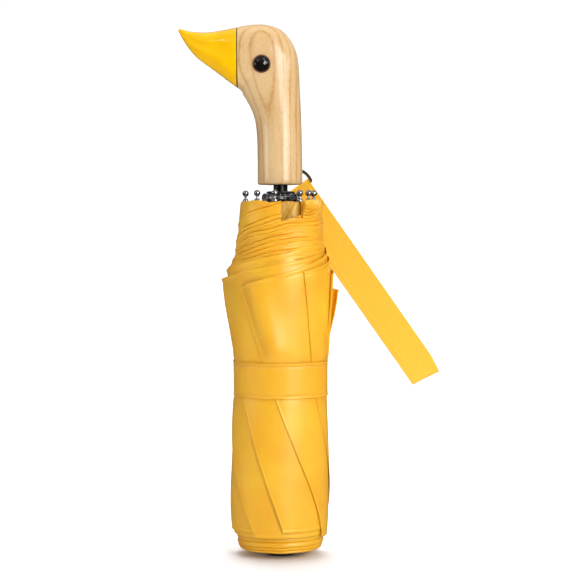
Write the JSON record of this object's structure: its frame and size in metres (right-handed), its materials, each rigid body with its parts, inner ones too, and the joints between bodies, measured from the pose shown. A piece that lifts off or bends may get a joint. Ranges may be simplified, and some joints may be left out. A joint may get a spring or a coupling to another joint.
{
  "type": "compact folding umbrella",
  "caption": "Child's compact umbrella, folded and strapped, with a wooden duck-head handle, telescopic shaft and wrist strap.",
  "frame": {"origin": "centre of the foot cap's flat end face, on the shaft's axis", "axes": "+Z along the shaft from the foot cap to the handle, -X towards the beak, and the wrist strap hangs on the +X and +Y side"},
  "size_m": [0.1485, 0.0585, 0.2972],
  "materials": {
    "canopy_cloth": "satin woven polyester",
    "band_cloth": "hemmed and stitched woven polyester",
    "strap_webbing": "flat woven webbing",
    "handle_wood": "pale wood under clear gloss lacquer",
    "beak_lacquer": "high gloss lacquer",
    "eye_black": "polished dome",
    "foot_plastic": "moulded black",
    "runner_plastic": "moulded black",
    "shaft_black": "semi-gloss black coat on steel tube",
    "rib_steel": "plated steel",
    "wire_steel": "drawn wire",
    "ring_steel": "dark nickel plate"
  },
  "bodies": {
    "folded_frame": {"foot_cap": "foot_plastic", "crown": "foot_plastic", "crown_wire": "wire_steel", "outer_tube": "shaft_black", "runner": "runner_plastic", "runner_wire": "wire_steel", "inner_rib_1": "rib_steel", "stretcher_1": "rib_steel", "middle_rib_1": "rib_steel", "outer_rib_1": "rib_steel", "inner_rib_2": "rib_steel", "stretcher_2": "rib_steel", "middle_rib_2": "rib_steel", "outer_rib_2": "rib_steel", "inner_rib_3": "rib_steel", "stretcher_3": "rib_steel", "middle_rib_3": "rib_steel", "outer_rib_3": "rib_steel", "inner_rib_4": "rib_steel", "stretcher_4": "rib_steel", "middle_rib_4": "rib_steel", "outer_rib_4": "rib_steel", "inner_rib_5": "rib_steel", "stretcher_5": "rib_steel", "middle_rib_5": "rib_steel", "outer_rib_5": "rib_steel", "inner_rib_6": "rib_steel", "stretcher_6": "rib_steel", "middle_rib_6": "rib_steel", "outer_rib_6": "rib_steel", "inner_rib_7": "rib_steel", "stretcher_7": "rib_steel", "middle_rib_7": "rib_steel", "outer_rib_7": "rib_steel", "inner_rib_8": "rib_steel", "stretcher_8": "rib_steel", "middle_rib_8": "rib_steel", "outer_rib_8": "rib_steel", "canopy_gore_1": "canopy_cloth", "canopy_gore_2": "canopy_cloth", "canopy_gore_3": "canopy_cloth", "canopy_gore_4": "canopy_cloth", "canopy_gore_5": "canopy_cloth", "canopy_gore_6": "canopy_cloth", "canopy_gore_7": "canopy_cloth", "canopy_gore_8": "canopy_cloth", "closure_band": "band_cloth"},
    "middle_shaft": {"middle_tube": "shaft_black"},
    "handle_set": {"handle_tube": "shaft_black", "handle": "handle_wood", "beak": "beak_lacquer", "eye_left": "eye_black", "eye_right": "eye_black", "strap_staple": "ring_steel"},
    "ring": {"strap_ring": "ring_steel"},
    "strap": {"wrist_strap": "strap_webbing"},
    "catch": {"runner_catch": "wire_steel"},
    "band_end": {"closure_tab": "band_cloth"}
  },
  "joints": [
    {"name": "extend_middle", "type": "slide", "parent": "folded_frame", "child": "middle_shaft", "axis": [0, 0, 1], "range_m": [0, 0.145]},
    {"name": "extend_handle", "type": "slide", "parent": "middle_shaft", "child": "handle_set", "axis": [0, 0, 1], "range_m": [0, 0.145]},
    {"name": "ring_swing", "type": "hinge", "parent": "handle_set", "child": "ring", "pos_m": [0.0024, 0.0141, 0.2148], "axis": [0.8192, 0, 0.5736], "range_deg": [0, 90]},
    {"name": "strap_swing", "type": "hinge", "parent": "ring", "child": "strap", "pos_m": [0.0093, 0.0256, 0.205], "axis": [0.8192, 0, 0.5736], "range_deg": [0, 80]},
    {"name": "catch_press", "type": "slide", "parent": "folded_frame", "child": "catch", "axis": [-1, 0, 0], "range_m": [0, 0.0016], "stiffness_N_per_m": 250, "springref_m": -0.002},
    {"name": "band_peel", "type": "hinge", "parent": "folded_frame", "child": "band_end", "pos_m": [0.01473, 0.02358, 0.0998], "axis": [0, 0, -1], "range_deg": [0, 90]}
  ]
}
